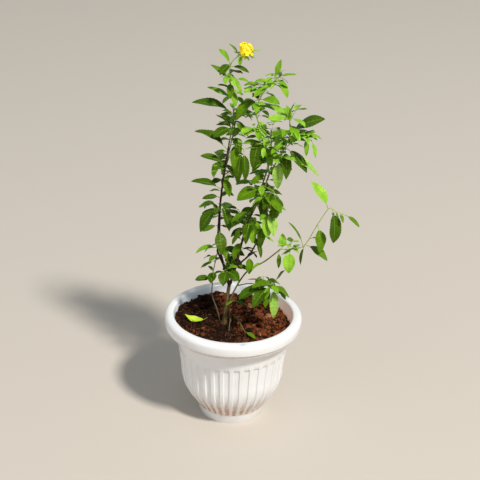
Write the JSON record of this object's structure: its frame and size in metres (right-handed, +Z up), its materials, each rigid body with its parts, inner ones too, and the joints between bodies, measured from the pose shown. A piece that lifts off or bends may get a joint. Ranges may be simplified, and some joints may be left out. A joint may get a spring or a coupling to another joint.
{
  "type": "potted lantana",
  "caption": "Young, open lantana shrub of thin leafy stems with a yellow flower head, in a round fluted white plastic pot filled with soil.",
  "frame": {"origin": "middle of the pot's flat underside", "axes": "+Z up the plant, -Y towards the viewer of the picture, +X to that viewer's right"},
  "size_m": [0.3449, 0.254, 0.7267],
  "materials": {
    "pot": "satin white",
    "soil": "damp, crumbly, reddish brown",
    "bark": "matte bark",
    "foliage": "satin green leaves",
    "fallen_leaf": "yellow-green leaf"
  },
  "bodies": {
    "root": {"pot": "pot", "soil": "soil", "trunk": "bark", "bough_left": "bark", "bough_left_rear": "bark", "bough_middle": "bark", "bough_right": "bark", "bough_back": "bark", "bough_arch": "bark", "bough_low_right": "bark", "bough_thin": "bark", "bough_front": "bark", "dead_twig": "bark", "foliage_left_foot": "foliage", "foliage_left_lower": "foliage", "foliage_left_middle": "foliage", "foliage_left_hanging": "foliage", "foliage_left_upper": "foliage", "foliage_left_top": "foliage", "foliage_rear_lower": "foliage", "foliage_rear_upper": "foliage", "foliage_rear_top": "foliage", "foliage_middle_lower": "foliage", "foliage_middle_upper": "foliage", "foliage_right_lower": "foliage", "foliage_upper_middle": "foliage", "foliage_upper_middle_top": "foliage", "foliage_upper_right": "foliage", "foliage_upper_right_twig": "foliage", "foliage_back_lower": "foliage", "foliage_back_upper": "foliage", "foliage_back_top": "foliage", "foliage_arch_middle": "foliage", "foliage_arch_tip": "foliage", "foliage_thin": "foliage", "foliage_fork": "foliage", "foliage_low_right": "foliage", "foliage_low_leaf": "foliage", "foliage_front": "foliage", "fallen_leaf": "fallen_leaf"}
  },
  "joints": []
}
